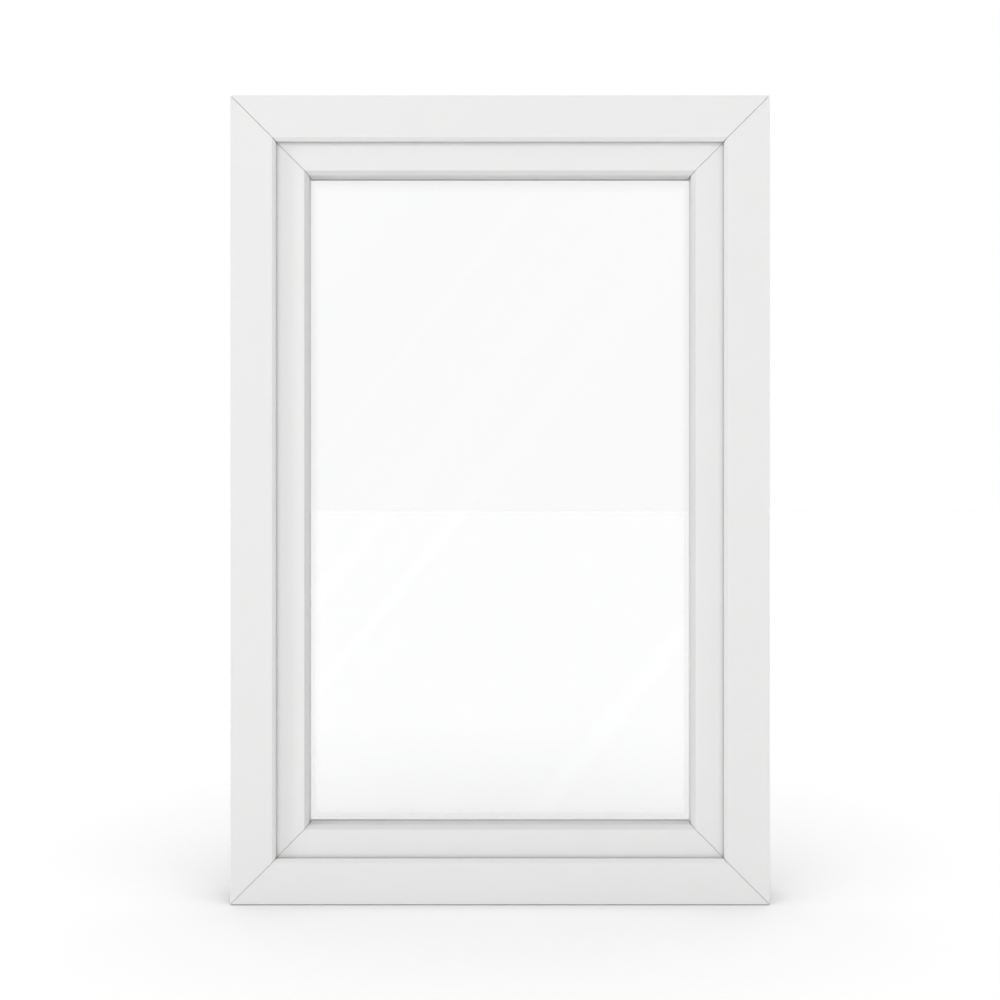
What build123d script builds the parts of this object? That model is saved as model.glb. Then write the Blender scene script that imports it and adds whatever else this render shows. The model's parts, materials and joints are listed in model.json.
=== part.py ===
from build123d import *
import math
import os

# Inward-opening casement window with a mitred plastic frame and sash. Millimetres.
# X runs across the window, Y runs from the outside (-Y) to the room (+Y), Z runs up from the frame's foot.
# Sections are drawn as (u, y): u is the distance in from the frame's outer edge, y is the depth.

# ---- overall sizes ----
window_width = 800.0
window_height = 1200.0
frame_depth = 70.0

# ---- frame section ----
frame_body = 46.0  # outer edge to the bottom of the sash rebate
lip_overlap = 8.5  # lip's edge over the sash
lip_chamfer = 4.5
lip_thickness = 9.0
frame_wall = 3.0
lip_hollow = 3.0
front_hollow = 8.0
steel_hollow_depth = 35.0
edge_radius = 0.8

# ---- sash section ----
rebate_clearance = 12.0  # hardware space between frame and sash
seal_gap = 3.5  # gap that each sash seal closes
flange_overlap = 8.0
flange_thickness = 9.0
sash_width = 55.1  # rebate side to the sightline
bevel_width = 5.5
bevel_depth = 7.5
leg_depth = 25.5  # outside face of the sash to the outer glazing gasket
glazing_rebate = 20.1
sash_wall = 3.0
sash_steel_depth = 23.5
leg_hollow = 14.1
front_sash_hollow = 4.5
hardware_line = 13.0  # flange to the centre line of the hardware groove
room_hollow = 7.5

# ---- mitre joints ----
joint_width = 0.6  # each member stands back this far from the joint plane at its skin
joint_depth = 1.5

# ---- reinforcement ----
steel_wall = 1.5
steel_clearance = 0.3
steel_end_gap = 6.0

# ---- glass ----
pane_thickness = 4.0
cavity = 16.0
glass_clearance = 5.0
spacer_width = 6.0
sealant_width = 4.0
glazing_gasket = 3.0
gasket_reach = 8.0
gasket_sight_gap = 0.3  # each glazing gasket stands back this far from the edge that covers it
block_length = 80.0
block_from_corner = 110.0
bead_set_back = 6.0  # bead behind the sightline, so that only the sash shows from outside
bead_face = 7.0  # width of the bead's flat on the room side
bead_nose = 4.0  # depth of the bead's straight edge at the glass
bead_wall = 2.0
bead_foot_width = 2.2
bead_foot_depth = 2.5
bead_foot_from_room = 5.0

# ---- seals between frame and sash ----
seal_width = 4.0
seal_from_edge = 1.0
seal_foot_width = 1.6
seal_foot_depth = 1.4
seal_fit = 0.1
seal_set_back = 0.3  # gap left between a seal and the face that closes on it

# ---- fixings and drainage ----
fixing_radius = 5.1  # clearance for a 10 mm frame anchor
fixing_spacing = 700.0
drain_length = 28.0
drain_height = 5.0
drain_inset = 190.0
drain_step = 60.0

# ---- hinges ----
hinge_from_end = 230.0
hinge_overhang = 11.0  # flange edge to the hinge axis
hinge_plate = 3.0
frame_knuckle = 30.0
sash_knuckle = 34.0
knuckle_radius = 8.0
knuckle_gap = 1.0
pin_radius = 4.0
pin_head_radius = 6.5
pin_head_height = 2.5
bush_wall = 1.45
bush_flange = 0.8
bush_flange_radius = 7.5
running_gap = 0.05
press_gap = 0.02
frame_leaf_edge = 3.0  # outer edge of the frame to the frame leaf
sash_leaf_width = 36.0
web_side = 4.0
leaf_screw_end = 9.0
leaf_screws = 4
leaf_corner = 3.0

# ---- screws ----
screw_radius = 2.2
screw_head_radius = 4.0
screw_head_height = 1.8
screw_hole_gap = 0.1
leaf_screw_length = 18.0
keep_screw_length = 12.0
face_screw_length = 16.0

# ---- lock ----
gear_module = 1.25
pinion_teeth = 18
pressure_angle = 20.0
tooth_addendum = 0.9  # in modules
tooth_dedendum = 1.25  # in modules
backlash = 0.15
gear_width = 8.0
gear_side_gap = 0.3
hub_radius = 7.0
case_cheek = 1.7
case_wall = 1.6
case_height = 54.0
gear_tip_gap = 0.5
rod_thickness = 2.0
rod_width = 8.0
rod_gap = 0.3
rod_end_clearance = 10.0  # drive rod at the end of its travel to the axis of a faceplate screw
rack_run_out = 8.0
faceplate_width = 16.0
faceplate_thickness = 2.0
faceplate_end_gap = 52.0  # corner of the sash to the end of the faceplate
groove_gap = 0.2
groove_depth = 8.0
face_screw_end = 12.0
cam_count = 4
cam_from_rod_end = 60.0  # end of the drive rod to the outermost cam
cam_stem_radius = 3.5
cam_head_radius = 5.5
cam_head_height = 2.0
cam_end_gap = 2.8  # cam head to the bottom of the frame rebate
cam_waist_radius = 4.5
cam_face_gap = 0.5
keep_base = 2.0
keep_height = 7.5
keep_half_height = 9.0
keep_tail = 22.0
keep_wall_gap = 0.4
keep_front = 6.5  # cam centre line to the keep's outside edge

# ---- handle ----
handle_rise = 0.0  # handle above the middle of the window
handle_turn = 180.0  # from free, with the lever pointing up, to locked, with it pointing down
spindle = 7.0
spindle_gap = 0.1
spindle_hole_radius = 9.0
handle_screw_spacing = 43.0
handle_screw_radius = 2.5
handle_screw_head_radius = 4.6
handle_screw_grip = 9.0  # thread in the gearbox case
base_width = 28.0
base_height = 66.0
base_plate = 3.0
boss_radius = 11.0
boss_height = 9.5
cap_wall = 1.6
cap_gap = 0.3
cap_height = 11.5
cap_corner = 6.0
neck_radius = 8.0
neck_gap = 0.4
lever_reach = 132.0  # spindle axis to the end of the lever
lever_stand_off = 40.0  # sash face to the lever's centre line
lever_bend = 17.0
lever_width = 21.0
lever_thickness = 13.0
lever_tip_width = 18.0
lever_tip_thickness = 10.5
lever_tip_radius = 2.5

# ---- depths that follow ----
y_front = -frame_depth / 2
y_room = frame_depth / 2
y_lip_back = y_front + lip_thickness
y_sash_front = y_lip_back + seal_gap
y_flange = y_room + seal_gap
y_sash_room = y_flange + flange_thickness
y_hardware = y_flange - hardware_line
y_leg_back = y_sash_front + leg_depth
y_glass_front = y_leg_back + glazing_gasket
y_cavity = y_glass_front + pane_thickness
y_inner_pane = y_cavity + cavity
y_glass_back = y_inner_pane + pane_thickness
y_bead = y_glass_back + glazing_gasket

# ---- distances from the outer edge that follow ----
u_sash = frame_body + rebate_clearance
u_lip = u_sash + lip_overlap
u_face_end = u_lip - lip_chamfer
u_flange = frame_body - flange_overlap
u_sight = u_sash + sash_width
u_bead = u_sight - bead_set_back
u_glazing = u_sight - glazing_rebate
u_glass = u_glazing + glass_clearance
u_groove_floor = u_sash + groove_depth
u_hinge = u_flange - hinge_overhang
u_rod = u_sash + faceplate_thickness + rod_gap
u_rack_root = u_rod + rod_thickness
pitch_radius = gear_module * pinion_teeth / 2
tip_radius = pitch_radius + tooth_addendum * gear_module
u_spindle = u_rack_root + tooth_dedendum * gear_module + pitch_radius
case_depth = gear_width + 2 * gear_side_gap + 2 * case_cheek
case_back = u_spindle + tip_radius + gear_tip_gap + case_wall
rod_travel = pitch_radius * math.radians(handle_turn)
rod_end_gap = face_screw_end + rod_end_clearance + rod_travel

# ---- heights and lengths that follow ----
middle_height = window_height / 2
handle_height = middle_height + handle_rise
faceplate_length = window_height - 2 * (u_sash + faceplate_end_gap)
rod_length = faceplate_length - 2 * rod_end_gap
cam_spacing = (rod_length - 2 * cam_from_rod_end) / (cam_count - 1)

SIDES = {"bottom": 0, "top": 180, "left": 90, "right": -90}
FRAME_NAMES = {"bottom": "sill", "top": "head", "left": "left_jamb", "right": "right_jamb"}
SASH_NAMES = {"bottom": "bottom_rail", "top": "top_rail", "left": "left_stile", "right": "right_stile"}

parts = {}


# ---- helpers ----
def section(*points):
    """Closed section from (u, y) or (u, y, corner radius) points."""
    corners = [(point[1], point[0]) for point in points]
    radii = [point[2] if len(point) > 2 else 0 for point in points]
    return make_face(FilletPolyline(*corners, radius=radii, close=True))


def rectangle(u0, u1, y0, y1, radius=0.0):
    """Rectangular section."""
    return section((u0, y0, radius), (u1, y0, radius), (u1, y1, radius), (u0, y1, radius))


def span_of(side):
    """Length of the window along one side."""
    return window_width if side in ("bottom", "top") else window_height


def on_side(side, piece):
    """Move a piece made for the bottom side to another side of the window."""
    to_edge = (window_height if side in ("bottom", "top") else window_width) / 2
    middle = Pos(0, 0, middle_height)
    return middle * Rot(0, SIDES[side], 0) * Pos(0, 0, -to_edge) * piece


def mitre_block(span, stand_back=0.0):
    """Everything between the 45 degree planes at the two ends of a bottom member."""
    reach = u_sight + glazing_rebate
    half = span / 2 - stand_back * math.sqrt(2)
    outline = Polyline((-half, 0), (half, 0), (half - reach, reach), (-half + reach, reach), close=True)
    return extrude(Plane.XZ * make_face(outline), amount=frame_depth * 2, both=True)


def bar(side, shape):
    """Straight mitred bar of one section along one side, still in the bottom position."""
    span = span_of(side)
    return extrude(Plane.YZ * shape, amount=span / 2, both=True) & mitre_block(span)


def member(side, outline, hollows):
    """Mitred hollow profile with a fine joint groove round its skin at both ends, in the bottom position."""
    span = span_of(side)
    skin = outline - offset(outline, -joint_depth, kind=Kind.INTERSECTION)
    groove = extrude(Plane.YZ * skin, amount=span / 2, both=True) - mitre_block(span, joint_width)
    solid = bar(side, outline) - groove
    for hollow in hollows:
        solid -= extrude(Plane.YZ * hollow, amount=span / 2, both=True)
    return solid


def ring(u0, u1, y0, y1):
    """Rectangular ring all round the window."""
    middle = Pos(0, (y0 + y1) / 2, middle_height)
    outer = Box(window_width - 2 * u0, y1 - y0, window_height - 2 * u0)
    inner = Box(window_width - 2 * u1, y1 - y0, window_height - 2 * u1)
    return middle * (outer - inner)


def block(x0, x1, y0, y1, z0, z1):
    """Box between two corners."""
    centre = Pos((x0 + x1) / 2, (y0 + y1) / 2, (z0 + z1) / 2)
    return centre * Box(abs(x1 - x0), abs(y1 - y0), abs(z1 - z0))


def hinge_x(u):
    """X of a distance in from the hinge-side edge."""
    return u - window_width / 2


def lock_x(u):
    """X of a distance in from the lock-side edge."""
    return window_width / 2 - u


def upright(x, y, z0, z1, radius):
    """Vertical cylinder."""
    return Pos(x, y, (z0 + z1) / 2) * Cylinder(radius, z1 - z0)


def through_depth(x, z, y0, y1, radius):
    """Cylinder along Y."""
    return Pos(x, (y0 + y1) / 2, z) * Rot(90, 0, 0) * Cylinder(radius, abs(y1 - y0))


def across(x0, x1, y, z, radius):
    """Cylinder along X."""
    return Pos((x0 + x1) / 2, y, z) * Rot(0, 90, 0) * Cylinder(radius, abs(x1 - x0))


def screw(length):
    """Countersunk screw, head face at the origin, pointing down -Z."""
    head = Pos(0, 0, -screw_head_height / 2) * Cone(screw_radius, screw_head_radius, screw_head_height)
    shank = Pos(0, 0, -length / 2) * Cylinder(screw_radius, length)
    recess = Pos(0, 0, -0.5) * (Box(4.4, 1.0, 1.0) + Box(1.0, 4.4, 1.0))
    return head + shank - recess


def screw_room(length):
    """Hole for a countersunk screw."""
    gap = screw_hole_gap
    head = Pos(0, 0, -screw_head_height / 2) * Cone(
        screw_radius + gap, screw_head_radius + gap, screw_head_height
    )
    shank = Pos(0, 0, -length / 2) * Cylinder(screw_radius + gap, length + 2 * gap)
    return head + shank


def save(name, piece):
    """Keep one sub-part under its name."""
    parts[name] = piece


# ---- frame ----
def frame_outline():
    """L-shaped frame section with the lip on the outside."""
    return section(
        (0, y_front, edge_radius),
        (u_face_end, y_front, edge_radius),
        (u_lip, y_front + lip_chamfer, edge_radius),
        (u_lip, y_lip_back, edge_radius),
        (frame_body, y_lip_back),
        (frame_body, y_room, edge_radius),
        (0, y_room, edge_radius),
    )


def frame_seal_slot(fit=0.0):
    """Foot of the frame seal, or its slot in the back of the lip."""
    middle = u_lip - seal_from_edge - seal_width / 2
    half = seal_foot_width / 2 - fit
    return rectangle(middle - half, middle + half, y_lip_back - seal_foot_depth + fit, y_lip_back)


def steel_hollow_start():
    """Depth at which the frame's steel hollow starts."""
    return y_lip_back + front_hollow + frame_wall


def frame_hollows():
    """Chambers of the frame profile, from the outside to the room."""
    wall = frame_wall
    inner = frame_body - wall
    steel_start = steel_hollow_start()
    steel_end = steel_start + steel_hollow_depth
    lip_start = y_front + wall
    return [
        rectangle(wall, u_face_end - wall, lip_start, lip_start + lip_hollow, edge_radius),
        rectangle(wall, inner, y_lip_back, y_lip_back + front_hollow, edge_radius),
        rectangle(wall, inner, steel_start, steel_end, edge_radius),
        rectangle(wall, inner, steel_end + wall, y_room - wall, edge_radius),
        frame_seal_slot(),
    ]


def fixing_holes():
    """Wall fixing holes through both jambs, at the middle of the steel hollow."""
    y = fixing_y()
    heights = [middle_height - fixing_spacing / 2, middle_height + fixing_spacing / 2]
    half = window_width / 2
    return [across(-half, half, y, z, fixing_radius) for z in heights]


def fixing_y():
    """Depth of the wall fixing holes."""
    return steel_hollow_start() + steel_hollow_depth / 2


def drain_slots():
    """Slots that let water out of the sill's rebate and then out of its foot."""
    slots = []
    y0 = y_lip_back + frame_wall / 2
    for way in (-1, 1):
        inner = way * (window_width / 2 - drain_inset)
        outer = inner - way * drain_step
        rebate = block(inner - drain_length / 2, inner + drain_length / 2, y0, y0 + drain_height,
                       frame_body - frame_wall, frame_body)
        foot = block(outer - drain_length / 2, outer + drain_length / 2, y0, y0 + drain_height, 0, frame_wall)
        slots += [rebate, foot]
    return slots


def steel_bar(side, u0, u1, y0, y1):
    """Square-cut steel box section that stands clear of the mitres, in the bottom position."""
    length = span_of(side) - 2 * (u1 + steel_end_gap)
    outer = rectangle(u0, u1, y0, y1, steel_wall)
    inner = rectangle(u0 + steel_wall, u1 - steel_wall, y0 + steel_wall, y1 - steel_wall)
    return extrude(Plane.YZ * (outer - inner), amount=length / 2, both=True)


def build_frame():
    """Four mitred frame members, their steel and their seal."""
    outline = frame_outline()
    hollows = frame_hollows()
    gap = steel_clearance
    steel_start = steel_hollow_start() + gap
    steel_end = steel_hollow_start() + steel_hollow_depth - gap
    seal_middle = u_lip - seal_from_edge - seal_width / 2
    seal_body = rectangle(
        seal_middle - seal_width / 2, seal_middle + seal_width / 2, y_lip_back, y_sash_front - seal_set_back
    )
    for side, name in FRAME_NAMES.items():
        profile = on_side(side, member(side, outline, hollows))
        steel = on_side(side, steel_bar(side, frame_wall + gap, frame_body - frame_wall - gap,
                                        steel_start, steel_end))
        if side in ("left", "right"):
            for hole in fixing_holes():
                profile -= hole
                steel -= hole
        if side == "bottom":
            for slot in drain_slots():
                profile -= slot
        if side == "left":
            profile -= hinge_frame_screw_holes()
        if side == "right":
            profile -= keep_screw_holes()
        save("frame_" + name, profile)
        save("frame_" + name + "_steel", steel)
        save("frame_" + name + "_gasket", on_side(side, bar(side, seal_body + frame_seal_slot(seal_fit))))


# ---- sash ----
def sash_outline():
    """Z-shaped sash section with the hardware groove in its rebate side."""
    lip = faceplate_width / 2 + groove_gap
    channel = case_depth / 2 + groove_gap
    ledge = u_sash + faceplate_thickness
    return section(
        (u_sash, y_sash_front, edge_radius),
        (u_sight - bevel_width, y_sash_front, edge_radius),
        (u_sight, y_sash_front + bevel_depth, edge_radius),
        (u_sight, y_leg_back),
        (u_glazing, y_leg_back),
        (u_glazing, y_sash_room, edge_radius),
        (u_flange, y_sash_room, 2 * edge_radius),
        (u_flange, y_flange, edge_radius),
        (u_sash, y_flange),
        (u_sash, y_hardware + lip),
        (ledge, y_hardware + lip),
        (ledge, y_hardware + channel),
        (u_groove_floor, y_hardware + channel),
        (u_groove_floor, y_hardware - channel),
        (ledge, y_hardware - channel),
        (ledge, y_hardware - lip),
        (u_sash, y_hardware - lip),
    )


def sash_seal_foot(fit=0.0):
    """Foot of the sash seal, or its slot in the flange."""
    middle = u_flange + seal_from_edge + seal_width / 2
    half = seal_foot_width / 2 - fit
    return rectangle(middle - half, middle + half, y_flange, y_flange + seal_foot_depth - fit)


def bead_foot(fit=0.0):
    """Foot of the glazing bead, or its slot in the sash."""
    middle = y_sash_room - bead_foot_from_room
    half = bead_foot_width / 2 - fit
    return rectangle(u_glazing - bead_foot_depth + fit, u_glazing, middle - half, middle + half)


def sash_steel_start():
    """Depth at which the sash's steel hollow starts."""
    return y_sash_front + front_sash_hollow + 2 * sash_wall


def sash_hollows():
    """Chambers of the sash profile, from the outside to the room."""
    wall = sash_wall
    outer = u_sash + wall
    inner = u_glazing - wall
    front = y_sash_front + wall
    steel_start = sash_steel_start()
    steel_end = steel_start + sash_steel_depth
    divider = y_sash_room - wall - room_hollow
    leg_start = u_glazing + wall
    return [
        rectangle(outer, inner, front, front + front_sash_hollow, edge_radius),
        rectangle(outer, inner, steel_start, steel_end, edge_radius),
        rectangle(u_groove_floor + wall, inner, steel_end + wall, divider - wall, edge_radius),
        rectangle(outer, inner - bead_foot_depth, divider, y_sash_room - wall, edge_radius),
        rectangle(leg_start, leg_start + leg_hollow, y_sash_front + bevel_depth + wall, y_leg_back - wall,
                  edge_radius),
        sash_seal_foot(),
        bead_foot(),
    ]


def gearbox_pocket():
    """Room for the gearbox case, the spindle and the handle screws in the lock stile."""
    half_height = case_height / 2 + groove_gap
    half_depth = case_depth / 2 + groove_gap
    start, end = lock_x(u_sash + faceplate_thickness), lock_x(case_back + groove_gap)
    room = block(start, end, y_hardware - half_depth, y_hardware + half_depth,
                 handle_height - half_height, handle_height + half_height)
    room += through_depth(lock_x(u_spindle), handle_height, y_hardware, y_sash_room, spindle_hole_radius)
    for z in handle_screw_heights():
        radius = handle_screw_radius + screw_hole_gap
        room += through_depth(lock_x(u_spindle), z, y_hardware, y_sash_room, radius)
    return room


def build_sash():
    """Four mitred sash members, their steel and their seal."""
    outline = sash_outline()
    hollows = sash_hollows()
    gap = steel_clearance
    steel_start = sash_steel_start()
    seal_start = u_flange + seal_from_edge
    seal_body = rectangle(seal_start, seal_start + seal_width, y_room + seal_set_back, y_flange)
    for side, name in SASH_NAMES.items():
        profile = on_side(side, member(side, outline, hollows))
        steel = steel_bar(side, u_sash + sash_wall + gap, u_glazing - sash_wall - gap,
                          steel_start + gap, steel_start + sash_steel_depth - gap)
        if side == "left":
            profile -= hinge_sash_screw_holes()
        if side == "right":
            profile -= gearbox_pocket()
            profile -= face_screw_holes()
        save("sash_" + name, profile)
        save("sash_" + name + "_steel", on_side(side, steel))
        save("sash_" + name + "_gasket", on_side(side, bar(side, seal_body + sash_seal_foot(seal_fit))))


# ---- glass ----
def build_glass():
    """Insulating glass unit, its blocks, gaskets and beads."""
    pane_width = window_width - 2 * u_glass
    pane_height = window_height - 2 * u_glass
    for name, y0 in (("outer_pane", y_glass_front), ("inner_pane", y_inner_pane)):
        pane = Box(pane_width, pane_thickness, pane_height)
        pane = chamfer(pane.edges(), 0.4)
        save(name, Pos(0, y0 + pane_thickness / 2, middle_height) * pane)
    save("edge_sealant", ring(u_glass, u_glass + sealant_width, y_cavity, y_inner_pane))
    spacer_start = u_glass + sealant_width
    spacer = ring(spacer_start, spacer_start + spacer_width, y_cavity, y_inner_pane)
    hollow = ring(spacer_start + 1, spacer_start + spacer_width - 1, y_cavity + 1, y_inner_pane - 1)
    save("spacer_bar", spacer - hollow)
    u_outer = u_sight - gasket_sight_gap
    u_inner = u_bead - gasket_sight_gap
    save("outer_glazing_gasket", ring(u_outer - gasket_reach, u_outer, y_leg_back, y_glass_front))
    save("bead_gasket", ring(u_inner - gasket_reach, u_inner, y_glass_back, y_bead))

    blocks = []
    for side in SIDES:
        offset_from_middle = span_of(side) / 2 - u_glass - block_from_corner
        for along in (-offset_from_middle, offset_from_middle):
            piece = block(along - block_length / 2, along + block_length / 2,
                          y_glass_front, y_glass_back, u_glazing, u_glass)
            blocks.append(on_side(side, piece))
    save("setting_blocks", Compound(children=blocks))

    outline = section(
        (u_glazing, y_bead),
        (u_bead, y_bead, edge_radius / 2),
        (u_bead, y_bead + bead_nose, 2 * edge_radius),
        (u_glazing + bead_face, y_sash_room, 2 * edge_radius),
        (u_glazing, y_sash_room, edge_radius / 2),
    )
    hollow = offset(outline, -bead_wall, kind=Kind.INTERSECTION)
    for side in SIDES:
        bead = bar(side, outline + bead_foot(seal_fit) - hollow)
        save("glazing_bead_" + side, on_side(side, bead))


# ---- hinges ----
def hinge_heights():
    """Middle of each hinge."""
    return {"bottom": hinge_from_end, "top": window_height - hinge_from_end}


def hinge_half_length():
    """Half the length of a hinge leaf."""
    return frame_knuckle + knuckle_gap + sash_knuckle / 2


def leaf_screw_heights(middle):
    """Screw heights along one hinge leaf."""
    half = hinge_half_length() - leaf_screw_end
    return [middle - half + 2 * half * i / (leaf_screws - 1) for i in range(leaf_screws)]


def frame_screw_x():
    """X of the screws in the frame leaves."""
    return hinge_x(frame_leaf_edge + leaf_screw_end)


def sash_screw_x():
    """X of the screws in the sash leaves, over the sash's body."""
    return hinge_x(u_flange + sash_leaf_width - leaf_screw_end)


def facing_room(x, y, z):
    """Place a screw with its head towards the room."""
    return Pos(x, y, z) * Rot(-90, 0, 0)


def leaf_screw_set(x, y, piece):
    """The same screw or hole at every screw place of both hinges."""
    heights = [z for middle in hinge_heights().values() for z in leaf_screw_heights(middle)]
    return [facing_room(x, y, z) * piece for z in heights]


def hinge_frame_screw_holes():
    """Holes in the hinge jamb."""
    return leaf_screw_set(frame_screw_x(), y_room + hinge_plate, screw_room(leaf_screw_length))


def hinge_sash_screw_holes():
    """Holes in the hinge stile."""
    return leaf_screw_set(sash_screw_x(), y_sash_room + hinge_plate, screw_room(leaf_screw_length))


def leaf_plate(x0, x1, y0, middle):
    """Hinge leaf plate with rounded corners."""
    half = hinge_half_length()
    plate = block(x0, x1, y0, y0 + hinge_plate, middle - half, middle + half)
    return fillet(plate.edges().filter_by(Axis.Y), leaf_corner)


def frame_leaf(middle):
    """Frame leaf with its two outer knuckles."""
    x, y = hinge_x(u_hinge), y_sash_room
    bottom, top = middle - hinge_half_length(), middle + hinge_half_length()
    leaf = leaf_plate(hinge_x(frame_leaf_edge), hinge_x(u_hinge + web_side), y_room, middle)
    for z0, z1 in ((bottom, bottom + frame_knuckle), (top - frame_knuckle, top)):
        leaf += block(x - knuckle_radius, x + web_side, y_room, y, z0, z1)
        leaf += upright(x, y, z0, z1, knuckle_radius)
    leaf -= upright(x, y, bottom, top, pin_radius + press_gap)
    return leaf


def sash_leaf(middle):
    """Sash leaf with its middle knuckle."""
    x, y = hinge_x(u_hinge), y_sash_room
    half = sash_knuckle / 2
    leaf = leaf_plate(hinge_x(u_flange), hinge_x(u_flange + sash_leaf_width), y, middle)
    leaf += block(x, hinge_x(u_flange + leaf_corner), y, y + hinge_plate, middle - half, middle + half)
    leaf += upright(x, y, middle - half, middle + half, knuckle_radius)
    leaf -= upright(x, y, middle - half, middle + half, pin_radius + running_gap + bush_wall + press_gap)
    return leaf


def hinge_pin(middle):
    """Hinge pin with a domed head at each end."""
    x, y = hinge_x(u_hinge), y_sash_room
    bottom, top = middle - hinge_half_length(), middle + hinge_half_length()
    pin = upright(x, y, bottom, top, pin_radius)
    for z0, z1 in ((bottom - pin_head_height, bottom), (top, top + pin_head_height)):
        head = upright(x, y, z0, z1, pin_head_radius)
        end = head.edges().sort_by(Axis.Z)[0] if z1 < middle else head.edges().sort_by(Axis.Z)[-1]
        pin += fillet(end, pin_head_height / 2)
    return pin


def hinge_bush_pair(middle):
    """Two flanged bushes in the sash knuckle."""
    x, y = hinge_x(u_hinge), y_sash_room
    half = sash_knuckle / 2
    inner = pin_radius + running_gap
    pieces = []
    for way in (-1, 1):
        ends = sorted((middle, middle + way * half))
        flange = sorted((middle + way * half, middle + way * (half + bush_flange)))
        bush = upright(x, y, ends[0], ends[1], inner + bush_wall)
        bush += upright(x, y, flange[0], flange[1], bush_flange_radius)
        bush -= upright(x, y, min(ends[0], flange[0]), max(ends[1], flange[1]), inner)
        pieces.append(bush)
    return pieces


def build_hinges():
    """Two hinges with their bushes and screws."""
    frame_holes = hinge_frame_screw_holes()
    sash_holes = hinge_sash_screw_holes()
    bushes = []
    for name, middle in hinge_heights().items():
        save(name + "_hinge_frame_leaf", frame_leaf(middle) - frame_holes)
        save(name + "_hinge_sash_leaf", sash_leaf(middle) - sash_holes)
        save(name + "_hinge_pin", hinge_pin(middle))
        bushes += hinge_bush_pair(middle)
    save("hinge_bushes", Compound(children=bushes))
    piece = screw(leaf_screw_length)
    frame_screws = leaf_screw_set(frame_screw_x(), y_room + hinge_plate, piece)
    sash_screws = leaf_screw_set(sash_screw_x(), y_sash_room + hinge_plate, piece)
    save("hinge_frame_screws", Compound(children=frame_screws))
    save("hinge_sash_screws", Compound(children=sash_screws))


# ---- lock ----
def cam_heights():
    """Height of each cam in the unlocked position."""
    first = middle_height - cam_spacing * (cam_count - 1) / 2
    return [first + cam_spacing * i for i in range(cam_count)]


def involute(base, radius):
    """Angle by which an involute has turned at a radius."""
    if radius <= base:
        return 0.0
    lean = math.acos(base / radius)
    return math.tan(lean) - lean


def pinion():
    """Spur pinion on a hub, with a square hole, made about Z."""
    base = pitch_radius * math.cos(math.radians(pressure_angle))
    root = pitch_radius - tooth_dedendum * gear_module
    half_tooth = math.pi / 2 / pinion_teeth - backlash / 2 / pitch_radius + involute(base, pitch_radius)
    steps = 4
    radii = [root] + [base + (tip_radius - base) * i / steps for i in range(steps + 1)]
    points = []
    for tooth in range(pinion_teeth):
        middle = 2 * math.pi * (tooth + 0.5) / pinion_teeth
        rising = [(r, middle - half_tooth + involute(base, r)) for r in radii]
        falling = [(r, middle + half_tooth - involute(base, r)) for r in reversed(radii)]
        points += [(r * math.cos(a), r * math.sin(a)) for r, a in rising + falling]
    gear = extrude(make_face(Polyline(*points, close=True)), amount=gear_width / 2, both=True)
    gear += Cylinder(hub_radius, case_depth)
    hole = spindle + 2 * spindle_gap
    return gear - Box(hole, hole, case_depth)


def rack_teeth():
    """Straight rack teeth on the back of the drive rod, one of them level with the spindle at rest."""
    pitch = math.pi * gear_module
    slope = math.tan(math.radians(pressure_angle))
    pitch_line = u_rack_root + tooth_dedendum * gear_module
    tip_line = pitch_line + tooth_addendum * gear_module
    half_root = pitch / 4 - backlash / 2 + (pitch_line - u_rack_root) * slope
    half_tip = pitch / 4 - backlash / 2 - (tip_line - pitch_line) * slope
    first = -math.ceil((rod_travel + rack_run_out) / pitch)
    last = math.ceil(rack_run_out / pitch)
    teeth = []
    for number in range(first, last + 1):
        z = handle_height + number * pitch
        outline = Polyline(
            (lock_x(u_rack_root), z - half_root),
            (lock_x(tip_line), z - half_tip),
            (lock_x(tip_line), z + half_tip),
            (lock_x(u_rack_root), z + half_root),
            close=True,
        )
        tooth = extrude(Plane.XZ * make_face(outline), amount=rod_width / 2, both=True)
        teeth.append(Pos(0, y_hardware, 0) * tooth)
    return teeth


def drive_rod():
    """Flat rod behind the faceplate, with the rack on its back."""
    half = rod_length / 2
    rod = block(lock_x(u_rod), lock_x(u_rack_root), y_hardware - rod_width / 2, y_hardware + rod_width / 2,
                middle_height - half, middle_height + half)
    return rod + rack_teeth()


def cam(z):
    """Mushroom cam riveted to the drive rod."""
    tip = frame_body + cam_end_gap
    stem = across(lock_x(u_rod), lock_x(tip), y_hardware, z, cam_stem_radius)
    waist = across(lock_x(u_sash - cam_face_gap), lock_x(tip), y_hardware, z, cam_waist_radius)
    head = across(lock_x(tip + cam_head_height), lock_x(tip), y_hardware, z, cam_head_radius)
    return stem + waist + head


def face_screw_heights():
    """Screws near the two ends of the faceplate."""
    half = faceplate_length / 2 - face_screw_end
    return [middle_height - half, middle_height + half]


def facing_frame(u, y, z):
    """Place a screw in the lock stile with its head towards the jamb."""
    return Pos(lock_x(u), y, z) * Rot(0, 90, 0)


def face_screw_holes():
    """Holes for the faceplate screws."""
    return [facing_frame(u_sash, y_hardware, z) * screw_room(face_screw_length) for z in face_screw_heights()]


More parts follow.
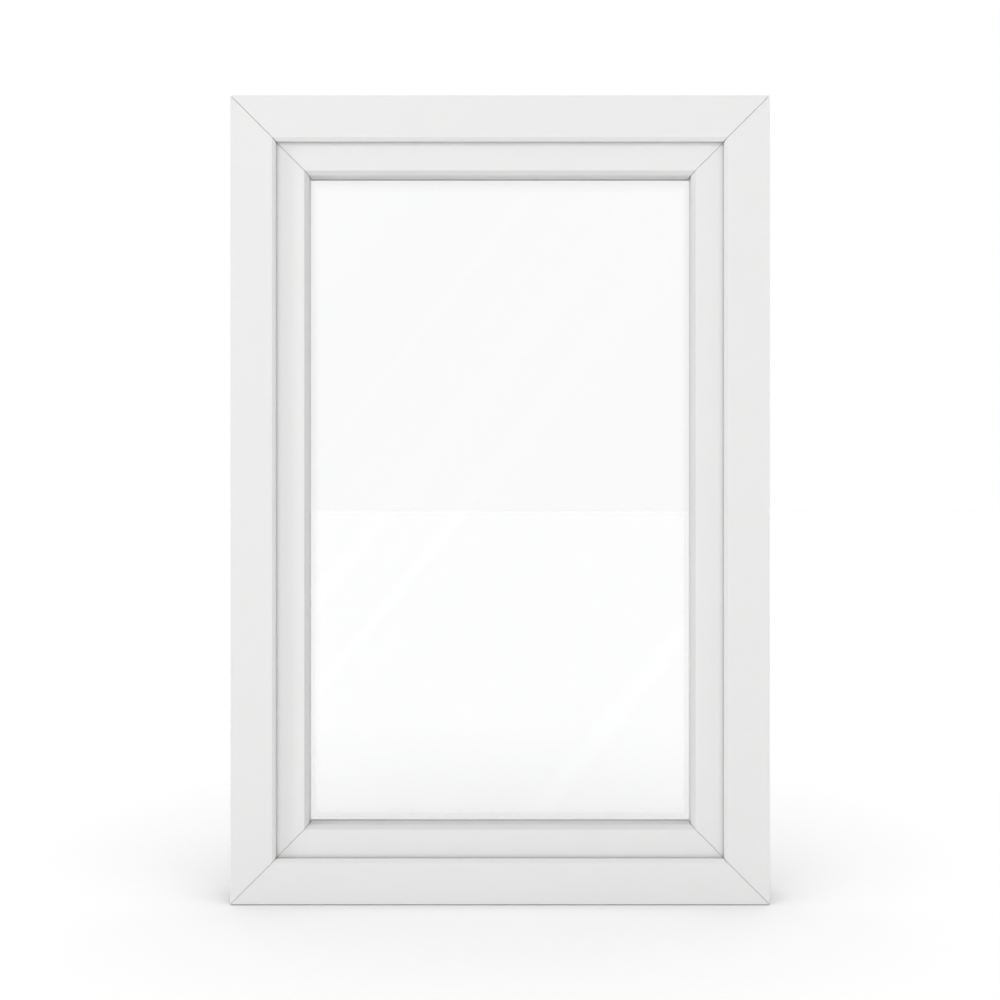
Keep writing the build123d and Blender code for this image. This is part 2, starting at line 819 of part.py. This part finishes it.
def faceplate():
    """Long strip with a slot for each cam."""
    half = faceplate_length / 2
    strip = block(lock_x(u_sash), lock_x(u_sash + faceplate_thickness), y_hardware - faceplate_width / 2,
                  y_hardware + faceplate_width / 2, middle_height - half, middle_height + half)
    strip = fillet(strip.edges().filter_by(Axis.X), faceplate_width / 2 - 1)
    slot_radius = cam_stem_radius + rod_gap
    outside, inside = lock_x(u_sash), lock_x(u_sash + faceplate_thickness)
    for z in cam_heights():
        top = z + rod_travel
        strip -= across(outside, inside, y_hardware, z, slot_radius)
        strip -= across(outside, inside, y_hardware, top, slot_radius)
        strip -= block(outside, inside, y_hardware - slot_radius, y_hardware + slot_radius, z, top)
    return strip - face_screw_holes()


def gearbox_case():
    """Case behind the faceplate, open to the drive rod and bored for the pinion's hub."""
    half_height = case_height / 2
    half_depth = case_depth / 2
    half_cavity = gear_width / 2 + gear_side_gap
    start = u_sash + faceplate_thickness
    x, z = lock_x(u_spindle), handle_height
    case = block(lock_x(start), lock_x(case_back), y_hardware - half_depth, y_hardware + half_depth,
                 z - half_height, z + half_height)
    rack_room = u_rack_root + (tooth_dedendum + tooth_addendum) * gear_module + gear_tip_gap
    case -= block(lock_x(start), lock_x(rack_room), y_hardware - half_cavity, y_hardware + half_cavity,
                  z - half_height, z + half_height)
    case -= through_depth(x, z, y_hardware - half_cavity, y_hardware + half_cavity, tip_radius + gear_tip_gap)
    case -= through_depth(x, z, y_hardware - half_depth, y_hardware + half_depth, hub_radius + running_gap)
    for height in handle_screw_heights():
        start_y = y_hardware + half_depth
        radius = handle_screw_radius + press_gap
        case -= through_depth(x, height, start_y - handle_screw_grip, start_y, radius)
    return case


def keep(z):
    """Keep on the frame whose hook holds a cam that has reached height z."""
    floor = lock_x(frame_body)
    hook_start = y_hardware + cam_head_radius + keep_wall_gap
    low = z - keep_half_height
    high = z + keep_half_height
    base = block(floor, lock_x(frame_body + keep_base), y_hardware - keep_front, y_room,
                 low, high + keep_tail)
    hook = block(floor, lock_x(frame_body + keep_height), hook_start, y_room, low, high)
    return base + hook - keep_screw_set(z, screw_room(keep_screw_length))


def keep_screw_set(z, piece):
    """The same screw or hole at both screw places of one keep."""
    heights = [z + keep_half_height + keep_tail * share for share in (0.25, 0.75)]
    outward = Rot(0, 180, 0) * piece
    return [facing_frame(frame_body + keep_base, y_hardware, height) * outward for height in heights]


def locked_heights():
    """Cam heights in the locked position."""
    return [z + rod_travel for z in cam_heights()]


def keep_screw_holes():
    """Holes in the lock jamb for the keeps."""
    return [hole for z in locked_heights() for hole in keep_screw_set(z, screw_room(keep_screw_length))]


def build_lock():
    """Espagnolette lock in the sash's edge, and its keeps on the frame."""
    save("lock_faceplate", faceplate())
    save("drive_rod", drive_rod())
    save("locking_cams", Compound(children=[cam(z) for z in cam_heights()]))
    save("gearbox_case", gearbox_case())
    save("lock_pinion", Pos(lock_x(u_spindle), y_hardware, handle_height) * Rot(90, 0, 0) * pinion())
    screws = [facing_frame(u_sash, y_hardware, z) * screw(face_screw_length) for z in face_screw_heights()]
    save("faceplate_screws", Compound(children=screws))
    save("lock_keeps", Compound(children=[keep(z) for z in locked_heights()]))
    screws = [piece for z in locked_heights() for piece in keep_screw_set(z, screw(keep_screw_length))]
    save("keep_screws", Compound(children=screws))


# ---- handle ----
def handle_screw_heights():
    """Heights of the two handle screws."""
    return [handle_height - handle_screw_spacing / 2, handle_height + handle_screw_spacing / 2]


def handle_base():
    """Base plate with the boss that the lever turns in."""
    x, z = lock_x(u_spindle), handle_height
    top = y_sash_room + base_plate
    base = block(x - base_width / 2, x + base_width / 2, y_sash_room, top,
                 z - base_height / 2, z + base_height / 2)
    base = fillet(base.edges().filter_by(Axis.Y), cap_corner - cap_wall - cap_gap)
    base += through_depth(x, z, y_sash_room, y_sash_room + boss_height, boss_radius)
    base -= through_depth(x, z, y_sash_room, y_sash_room + boss_height, neck_radius + running_gap)
    for height in handle_screw_heights():
        base -= through_depth(x, height, y_sash_room, top, handle_screw_radius + screw_hole_gap)
    return base


def handle_cap():
    """Cover cap over the base and its screws."""
    x, z = lock_x(u_spindle), handle_height
    half_width = base_width / 2 + cap_gap + cap_wall
    half_height = base_height / 2 + cap_gap + cap_wall
    top = y_sash_room + cap_height
    shell = block(x - half_width, x + half_width, y_sash_room, top, z - half_height, z + half_height)
    shell = fillet(shell.edges().filter_by(Axis.Y), cap_corner)
    shell = fillet(shell.faces().sort_by(Axis.Y)[-1].outer_wire().edges(), cap_wall)
    inside = block(x - half_width + cap_wall, x + half_width - cap_wall, y_sash_room, top - cap_wall,
                   z - half_height + cap_wall, z + half_height - cap_wall)
    inside = fillet(inside.edges().filter_by(Axis.Y), cap_corner - cap_wall)
    return shell - inside - through_depth(x, z, y_sash_room, top, neck_radius + neck_gap)


def handle_lever():
    """Lever with a round neck that bends into an oval grip, pointing up."""
    x, z = lock_x(u_spindle), handle_height
    start = y_sash_room + cap_gap
    line = y_sash_room + lever_stand_off
    bend_start = line - lever_bend
    neck = through_depth(x, z, start, bend_start, neck_radius)
    bend = Edge.make_tangent_arc((x, bend_start, z), (0, 1, 0), (x, line, z + lever_bend))
    round_end = Plane((x, bend_start, z), x_dir=(0, 0, -1), z_dir=(0, 1, 0)) * Circle(neck_radius)
    oval = Plane((x, line, z + lever_bend), x_dir=(0, 1, 0), z_dir=(0, 0, 1)) * Ellipse(
        lever_thickness / 2, lever_width / 2
    )
    tip = Plane((x, line, z + lever_reach), x_dir=(0, 1, 0), z_dir=(0, 0, 1)) * Ellipse(
        lever_tip_thickness / 2, lever_tip_width / 2
    )
    elbow = sweep([round_end.face(), oval.face()], path=bend, multisection=True)
    grip = loft([oval.face(), tip.face()])
    grip = fillet(grip.faces().sort_by(Axis.Z)[-1].edges(), lever_tip_radius)
    hole = spindle + 2 * spindle_gap
    socket = block(x - hole / 2, x + hole / 2, start, bend_start, z - hole / 2, z + hole / 2)
    return neck + elbow + grip - socket


def build_handle():
    """Handle with its base, cap, spindle and screws."""
    x, z = lock_x(u_spindle), handle_height
    save("handle_base", handle_base())
    save("handle_cap", handle_cap())
    save("handle_lever", handle_lever())
    half = spindle / 2
    spindle_start = y_hardware - case_depth / 2
    spindle_end = y_sash_room + lever_stand_off - lever_bend - spindle_gap
    save("handle_spindle", block(x - half, x + half, spindle_start, spindle_end, z - half, z + half))
    screws = []
    head_start = y_sash_room + base_plate
    tail = y_hardware + case_depth / 2 - handle_screw_grip + screw_hole_gap
    for height in handle_screw_heights():
        piece = through_depth(x, height, tail, head_start, handle_screw_radius)
        head_end = head_start + handle_screw_radius
        head = through_depth(x, height, head_start, head_end, handle_screw_head_radius)
        screws.append(piece + fillet(head.edges().sort_by(Axis.Y)[-1], handle_screw_radius / 2))
    save("handle_screws", Compound(children=screws))


build_frame()
build_sash()
build_glass()
build_hinges()
build_lock()
build_handle()

os.makedirs("parts", exist_ok=True)
for name, piece in parts.items():
    export_step(piece, "parts/" + name + ".step")
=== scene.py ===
"""Looks for the casement window: materials for its CAD parts, a studio, and the camera."""
import json
import math

import bpy
from mathutils import Matrix, Vector


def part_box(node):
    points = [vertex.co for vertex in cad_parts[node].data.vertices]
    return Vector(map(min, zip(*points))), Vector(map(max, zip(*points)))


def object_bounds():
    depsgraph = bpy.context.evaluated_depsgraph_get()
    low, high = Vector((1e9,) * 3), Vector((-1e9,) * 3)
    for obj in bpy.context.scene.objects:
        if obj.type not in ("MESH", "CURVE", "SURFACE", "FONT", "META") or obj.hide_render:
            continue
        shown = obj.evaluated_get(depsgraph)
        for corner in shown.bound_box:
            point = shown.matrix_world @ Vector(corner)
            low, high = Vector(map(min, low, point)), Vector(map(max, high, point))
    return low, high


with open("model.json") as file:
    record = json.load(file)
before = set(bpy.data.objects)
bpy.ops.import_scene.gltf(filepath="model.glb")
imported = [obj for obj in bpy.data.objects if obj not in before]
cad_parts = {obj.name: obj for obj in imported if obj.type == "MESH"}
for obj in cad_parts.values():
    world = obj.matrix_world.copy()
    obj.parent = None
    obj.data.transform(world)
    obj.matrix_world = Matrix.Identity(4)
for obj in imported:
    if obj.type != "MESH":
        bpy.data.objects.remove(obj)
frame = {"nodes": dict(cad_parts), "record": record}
cad_low, cad_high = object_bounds()

# Colours are linear, as the shader takes them.
WHITE_PLASTIC = (0.800, 0.800, 0.797)
WHITE_PAINT = (0.785, 0.785, 0.780)
NYLON = (0.70, 0.70, 0.68)
GREY_SEAL = (0.250, 0.250, 0.255)
PALE_SEAL = (0.480, 0.480, 0.482)
BLACK_SEALANT = (0.020, 0.020, 0.021)
BLUE_BLOCK = (0.050, 0.130, 0.330)
ZINC = (0.620, 0.630, 0.650)
STEEL = (0.560, 0.560, 0.570)
ALUMINIUM = (0.740, 0.740, 0.750)
CAST_ZINC = (0.380, 0.385, 0.400)
GLASS_TINT = (0.986, 0.988, 0.987)
FLOOR = (0.300, 0.300, 0.300)

ARRIS = 0.0005  # radius of the softened edges, in metres
ARRIS_SAMPLES = 6
GLASS_IOR = 1.5


class Shader:
    """One node material, built a node at a time."""

    def __init__(self, name, colour, roughness, metallic=0.0):
        self.material = bpy.data.materials.new(name)
        self.material.use_nodes = True
        self.nodes = self.material.node_tree.nodes
        self.links = self.material.node_tree.links
        self.surface = self.nodes["Principled BSDF"]
        self.colour = colour
        self.surface.inputs["Base Color"].default_value = (*colour, 1.0)
        self.surface.inputs["Roughness"].default_value = roughness
        self.surface.inputs["Metallic"].default_value = metallic
        self.place = self.nodes.new("ShaderNodeTexCoord").outputs["Object"]
        self.heights = []

    def link(self, value, socket):
        """Feeds a socket from another node's output, or sets it to a plain value."""
        if isinstance(value, bpy.types.NodeSocket):
            self.links.new(value, socket)
        else:
            socket.default_value = value

    def stretched(self, stretch):
        """The place in the object, in metres, with each axis multiplied."""
        node = self.nodes.new("ShaderNodeMapping")
        self.links.new(self.place, node.inputs["Vector"])
        node.inputs["Scale"].default_value = stretch
        return node.outputs["Vector"]

    def noise(self, per_metre, detail=3.0, roughness=0.5, stretch=(1, 1, 1)):
        """A cloudy value from 0 to 1."""
        node = self.nodes.new("ShaderNodeTexNoise")
        self.links.new(self.stretched(stretch), node.inputs["Vector"])
        node.inputs["Scale"].default_value = per_metre
        node.inputs["Detail"].default_value = detail
        node.inputs["Roughness"].default_value = roughness
        return node.outputs["Fac"]

    def cells(self, per_metre):
        """A different value for each cell of a crystal pattern."""
        node = self.nodes.new("ShaderNodeTexVoronoi")
        self.links.new(self.place, node.inputs["Vector"])
        node.inputs["Scale"].default_value = per_metre
        return node.outputs["Color"]

    def between(self, value, low, high, out_low=0.0, out_high=1.0):
        """Maps value from low..high to out_low..out_high, and clips it there."""
        node = self.nodes.new("ShaderNodeMapRange")
        for socket, number in zip(list(node.inputs)[:5], (value, low, high, out_low, out_high)):
            self.link(number, socket)
        return node.outputs["Result"]

    def tint(self, factor, other):
        """Mixes the colour so far with another by factor."""
        node = self.nodes.new("ShaderNodeMix")
        node.data_type = "RGBA"
        factor_in, first, second = node.inputs[0], node.inputs[6], node.inputs[7]
        base = self.surface.inputs["Base Color"]
        if base.is_linked:
            self.links.new(base.links[0].from_socket, first)
        else:
            first.default_value = base.default_value
        self.link(factor, factor_in)
        second.default_value = (*other, 1.0)
        self.links.new(node.outputs[2], base)

    def rough(self, value):
        self.link(value, self.surface.inputs["Roughness"])

    def soft_edges(self, radius):
        """Rounds the arrises a little where they catch the light."""
        node = self.nodes.new("ShaderNodeBevel")
        node.samples = ARRIS_SAMPLES
        node.inputs["Radius"].default_value = radius
        self.links.new(node.outputs["Normal"], self.surface.inputs["Normal"])

    def bump(self, height, distance, strength=1.0):
        """Adds relief: height 0 to 1, times distance in metres."""
        node = self.nodes.new("ShaderNodeBump")
        self.link(height, node.inputs["Height"])
        node.inputs["Distance"].default_value = distance
        node.inputs["Strength"].default_value = strength
        normal = self.surface.inputs["Normal"]
        if normal.is_linked:
            self.links.new(normal.links[0].from_socket, node.inputs["Normal"])
        self.links.new(node.outputs["Normal"], normal)


def darker(colour, share):
    return tuple(c * share for c in colour)


def extruded_plastic(name, along):
    """White window plastic: satin, with faint die lines along the bar."""
    stretch = tuple(0.02 if axis == along else 1.0 for axis in "xyz")
    s = Shader(name, WHITE_PLASTIC, 0.33)
    s.surface.inputs["Specular IOR Level"].default_value = 0.45
    s.soft_edges(ARRIS)
    die_lines = s.noise(900, detail=4, roughness=0.6, stretch=stretch)
    clouds = s.noise(7, detail=2)
    s.tint(s.between(clouds, 0.35, 0.7, 0.0, 0.35), darker(WHITE_PLASTIC, 0.985))
    s.tint(s.between(die_lines, 0.45, 0.75, 0.0, 0.3), darker(WHITE_PLASTIC, 0.985))
    s.rough(s.between(die_lines, 0.3, 0.7, 0.29, 0.37))
    s.bump(die_lines, 0.00001)
    s.bump(s.noise(260, detail=2), 0.00001)
    return s.material


def moulded(name, colour, roughness, grain_per_metre=1800, relief=0.00002):
    """Rubber or moulded plastic with a fine grain."""
    s = Shader(name, colour, roughness)
    grain = s.noise(grain_per_metre, detail=3)
    s.tint(s.between(s.noise(35, detail=3), 0.3, 0.75, 0.0, 0.5), darker(colour, 0.93))
    s.rough(s.between(grain, 0.25, 0.75, roughness - 0.06, min(roughness + 0.08, 1.0)))
    s.bump(grain, relief)
    return s.material


def painted_metal(name):
    """Satin white powder paint with a slight orange peel."""
    s = Shader(name, WHITE_PAINT, 0.3)
    s.surface.inputs["Coat Weight"].default_value = 0.15
    s.surface.inputs["Coat Roughness"].default_value = 0.2
    s.soft_edges(ARRIS)
    peel = s.noise(650, detail=2, roughness=0.4)
    s.tint(s.between(s.noise(22, detail=3), 0.35, 0.75, 0.0, 0.5), darker(WHITE_PAINT, 0.975))
    s.rough(s.between(peel, 0.3, 0.7, 0.26, 0.36))
    s.bump(peel, 0.00003)
    return s.material


def plated(name, colour, roughness, along=None, spangle=False):
    """Bare or zinc plated steel, brushed along an axis, with fine scratches or a spangle."""
    s = Shader(name, colour, roughness, metallic=1.0)
    stretch = tuple(0.03 if axis == along else 1.0 for axis in "xyz")
    brushed = s.noise(1600, detail=4, roughness=0.6, stretch=stretch)
    clouds = s.noise(40, detail=4, roughness=0.6)
    s.tint(s.between(clouds, 0.3, 0.75, 0.0, 0.6), darker(colour, 0.82))
    if spangle:
        s.tint(s.between(s.cells(110), 0.2, 0.9, 0.0, 0.5), darker(colour, 0.75))
    s.rough(s.between(brushed, 0.3, 0.7, roughness - 0.06, roughness + 0.12))
    s.bump(brushed, 0.00001)
    return s.material


def cast_metal(name):
    s = Shader(name, CAST_ZINC, 0.55, metallic=1.0)
    grain = s.noise(1100, detail=4, roughness=0.65)
    s.tint(s.between(s.noise(60, detail=3), 0.3, 0.7, 0.0, 0.6), darker(CAST_ZINC, 0.8))
    s.rough(s.between(grain, 0.25, 0.75, 0.45, 0.68))
    s.bump(grain, 0.00006)
    return s.material


def clear_glass(name):
    """Float glass: clear, with the faintest waves."""
    s = Shader(name, GLASS_TINT, 0.0)
    s.surface.inputs["Transmission Weight"].default_value = 1.0
    s.surface.inputs["IOR"].default_value = GLASS_IOR
    s.bump(s.noise(3.0, detail=1, stretch=(1, 1, 0.3)), 0.00004)
    return s.material


def make_materials():
    """Each material slot's shader. Bars that run up and bars that run across have their own die lines."""
    made = {
        "seal": moulded("seal", GREY_SEAL, 0.6),
        "glazing_seal": moulded("glazing_seal", PALE_SEAL, 0.6),
        "edge_sealant": moulded("edge_sealant", BLACK_SEALANT, 0.5, 500, 0.0001),
        "block_plastic": moulded("block_plastic", BLUE_BLOCK, 0.45),
        "bush_plastic": moulded("bush_plastic", NYLON, 0.5),
        "galvanised_steel": plated("galvanised_steel", ZINC, 0.4, spangle=True),
        "spacer_metal": plated("spacer_metal", ALUMINIUM, 0.38),
        "pin_steel": plated("pin_steel", STEEL, 0.3),
        "screw_steel": plated("screw_steel", ZINC, 0.34),
        "lock_steel": plated("lock_steel", ZINC, 0.36, along="z"),
        "cam_steel": plated("cam_steel", STEEL, 0.3),
        "keep_metal": plated("keep_metal", ZINC, 0.4, along="z"),
        "case_metal": cast_metal("case_metal"),
        "hinge_metal": painted_metal("hinge_metal"),
        "handle_metal": painted_metal("handle_metal"),
        "glass": clear_glass("glass"),
    }
    for slot in ("frame_plastic", "sash_plastic", "bead_plastic"):
        made[slot + "_upright"] = extruded_plastic(slot + "_upright", "z")
        made[slot + "_level"] = extruded_plastic(slot + "_level", "x")
    return made


def dress(nodes, record):
    """Gives every CAD node its slot's material."""
    materials = make_materials()
    for part in record["subparts"]:
        name, slot = part["node"], part["material_slot"]
        node = nodes[name]
        if slot not in materials:
            low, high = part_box(name)
            slot += "_upright" if high.z - low.z > high.x - low.x else "_level"
        node.data.materials.clear()
        node.data.materials.append(materials[slot])
        for face in node.data.polygons:
            face.material_index = 0
    for pane in ("outer_pane", "inner_pane"):
        nodes[pane].visible_shadow = False


def mesh_object(name, corners, material):
    """A flat stage card through its corners."""
    mesh = bpy.data.meshes.new(name)
    mesh.from_pydata(corners, [], [tuple(range(len(corners)))])
    mesh.materials.append(material)
    card = bpy.data.objects.new(name, mesh)
    bpy.context.scene.collection.objects.link(card)
    return card


FLOOR_REACH = 60.0
FLOOR_DROP = 0.001  # the gap under the frame that shows as a dark contact line


def make_floor():
    """A plain white floor that reaches the horizon."""
    s = Shader("floor", FLOOR, 0.9)
    s.surface.inputs["Specular IOR Level"].default_value = 0.0
    reach = FLOOR_REACH
    level = cad_low.z - FLOOR_DROP
    floor = mesh_object("floor", [(-reach, -reach, level), (reach, -reach, level), (reach, reach, level),
                                  (-reach, reach, level)], s.material)
    floor.visible_glossy = False
    return floor


SKY_TOP = 0.80
SKY_SIDES = 0.42
BACKDROP = 1.0


def make_world():
    """A pale studio a little brighter overhead, in front of a plain white backdrop."""
    world = bpy.data.worlds.new("studio")
    bpy.context.scene.world = world
    world.use_nodes = True
    nodes, links = world.node_tree.nodes, world.node_tree.links
    background = nodes["Background"]
    background.inputs["Color"].default_value = (1, 1, 1, 1)
    split = nodes.new("ShaderNodeSeparateXYZ")
    links.new(nodes.new("ShaderNodeTexCoord").outputs["Generated"], split.inputs[0])

    top = nodes.new("ShaderNodeMapRange")
    top.interpolation_type = "SMOOTHSTEP"
    for socket, number in zip(list(top.inputs)[1:5], (0.1, 0.9, SKY_SIDES, SKY_TOP)):
        socket.default_value = number
    links.new(split.outputs["Z"], top.inputs[0])
    rays = nodes.new("ShaderNodeLightPath").outputs
    seen = nodes.new("ShaderNodeMath")
    seen.operation = "MAXIMUM"
    links.new(rays["Is Camera Ray"], seen.inputs[0])
    links.new(rays["Is Transmission Ray"], seen.inputs[1])
    shown = nodes.new("ShaderNodeMix")
    links.new(seen.outputs[0], shown.inputs[0])
    links.new(top.outputs[0], shown.inputs[2])
    shown.inputs[3].default_value = BACKDROP
    links.new(shown.outputs[0], background.inputs["Strength"])


KEY_AZIMUTH = 68.0
KEY_RISE = 18.0
KEY_DISTANCE = 6.0
KEY_SIZE = 0.6
KEY_POWER = 60.0
FILL_STRENGTH = 0.92
FILL_SPREAD = 60.0
FILL_FALL = 0.15  # metres down per metre along
FLOOR_LAMP_STRENGTH = 8.8
FLOOR_LAMP_SPREAD = 70.0
FLOOR_LAMP_LEAN = 0.2  # metres along per metre down


def add_lamp(light, towards, group, at=(0.0, 0.0, 3.0)):
    """Places a lamp that lights only what its group lets it, and that no mirror shows."""
    lamp = bpy.data.objects.new(light.name, light)
    lamp.location = at
    lamp.rotation_euler = Vector(towards).to_track_quat("-Z", "Y").to_euler()
    lamp.visible_camera = False
    lamp.visible_glossy = False
    lamp.visible_transmission = False
    bpy.context.scene.collection.objects.link(lamp)
    lamp.light_linking.receiver_collection = group


def soft_sun(name, strength, spread):
    light = bpy.data.lights.new(name, "SUN")
    light.energy = strength
    light.angle = math.radians(spread)
    return light


def floor_group(name, floor, state):
    """A light group that takes in only the floor, or everything but the floor."""
    group = bpy.data.collections.new(name)
    group.objects.link(floor)
    group.collection_objects[0].light_linking.link_state = state
    return group


def make_lamps(floor):
    """A key light far to the left, soft fills in front and behind, and the floor's own lamp overhead."""
    only_floor = floor_group("only_floor", floor, "INCLUDE")
    no_floor = floor_group("no_floor", floor, "EXCLUDE")
    azimuth, rise = math.radians(KEY_AZIMUTH), math.radians(KEY_RISE)
    away = Vector((-math.sin(azimuth) * math.cos(rise), -math.cos(azimuth) * math.cos(rise), math.sin(rise)))
    key = bpy.data.lights.new("key", "AREA")
    key.shape = "DISK"
    key.size = KEY_SIZE
    key.energy = KEY_POWER
    add_lamp(key, -away, no_floor, at=(cad_low + cad_high) / 2 + away * KEY_DISTANCE)
    for name, way in (("front_fill", 1), ("back_fill", -1)):
        add_lamp(soft_sun(name, FILL_STRENGTH, FILL_SPREAD), (0, way, -FILL_FALL), no_floor)
    floor_lamp = soft_sun("floor_lamp", FLOOR_LAMP_STRENGTH, FLOOR_LAMP_SPREAD)
    add_lamp(floor_lamp, (0, FLOOR_LAMP_LEAN, -1), only_floor)


STRIP_PLANE = -3.0
STRIP_TILT = 51.5
STRIP_LENGTH = 8.0
STRIP_APART = 0.02  # each strip stands this far behind the one before it
# Each strip light: its distance from the middle line, its width, the share of it that is even, its strength.
STRIPS = (
    (0.260, 0.640, 0.90, 0.07),
    (0.706, 0.022, 0.50, 0.35),
    (0.350, 0.110, 0.40, 0.20),
    (0.100, 0.070, 0.30, 0.24),
    (-0.965, 0.120, 0.40, 0.25),
    (1.500, 0.950, 0.10, 0.45),
)


def strip_material(name, width, even, strength):
    """Adds light over what lies behind, fading towards the strip's long edges."""
    material = bpy.data.materials.new(name)
    material.use_nodes = True
    nodes, links = material.node_tree.nodes, material.node_tree.links
    nodes.clear()
    split = nodes.new("ShaderNodeSeparateXYZ")
    links.new(nodes.new("ShaderNodeTexCoord").outputs["Object"], split.inputs[0])
    across = nodes.new("ShaderNodeMath")
    across.operation = "ABSOLUTE"
    links.new(split.outputs["Y"], across.inputs[0])
    fade = nodes.new("ShaderNodeMapRange")
    fade.interpolation_type = "SMOOTHSTEP"
    for socket, number in zip(list(fade.inputs)[1:5], (width / 2 * even, width / 2, strength, 0.0)):
        socket.default_value = number
    links.new(across.outputs[0], fade.inputs[0])
    glow = nodes.new("ShaderNodeEmission")
    links.new(fade.outputs[0], glow.inputs["Strength"])
    both = nodes.new("ShaderNodeAddShader")
    links.new(nodes.new("ShaderNodeBsdfTransparent").outputs[0], both.inputs[0])
    links.new(glow.outputs[0], both.inputs[1])
    links.new(both.outputs[0], nodes.new("ShaderNodeOutputMaterial").inputs["Surface"])
    return material


def make_strip_lights():
    """Slanting strip lights behind the camera, which only the glass shows."""
    middle = (cad_low.z + cad_high.z) / 2
    tilt = math.radians(STRIP_TILT)
    for number, (offset, width, even, strength) in enumerate(STRIPS):
        name = "strip_light_%d" % number
        long, wide = STRIP_LENGTH / 2, width / 2
        strip = mesh_object(name, [(-long, -wide, 0), (long, -wide, 0), (long, wide, 0), (-long, wide, 0)],
                            strip_material(name, width, even, strength))
        strip.matrix_world = (
            Matrix.Translation((-offset * math.sin(tilt), STRIP_PLANE - STRIP_APART * number,
                                middle + offset * math.cos(tilt)))
            @ Matrix.Rotation(-tilt, 4, "Y") @ Matrix.Rotation(math.radians(90), 4, "X")
        )
        for rays in ("camera", "diffuse", "transmission", "shadow", "volume_scatter"):
            setattr(strip, "visible_" + rays, False)


CAMERA_AWAY = 1.6473
CAMERA_LENS = 40.0
CAMERA_SENSOR = 36.0


def make_camera():
    """Dead straight in front of the window, at half its height."""
    camera = bpy.data.objects.new("camera", bpy.data.cameras.new("camera"))
    camera.data.lens = CAMERA_LENS
    camera.data.sensor_width = CAMERA_SENSOR
    camera.location = (0.0, cad_low.y - CAMERA_AWAY, (cad_low.z + cad_high.z) / 2)
    camera.rotation_euler = (math.radians(90.0), 0.0, 0.0)
    bpy.context.scene.collection.objects.link(camera)
    bpy.context.scene.camera = camera


dress(frame["nodes"], frame["record"])
make_lamps(make_floor())
make_world()
make_strip_lights()
make_camera()
bpy.context.scene.view_settings.view_transform = "Standard"
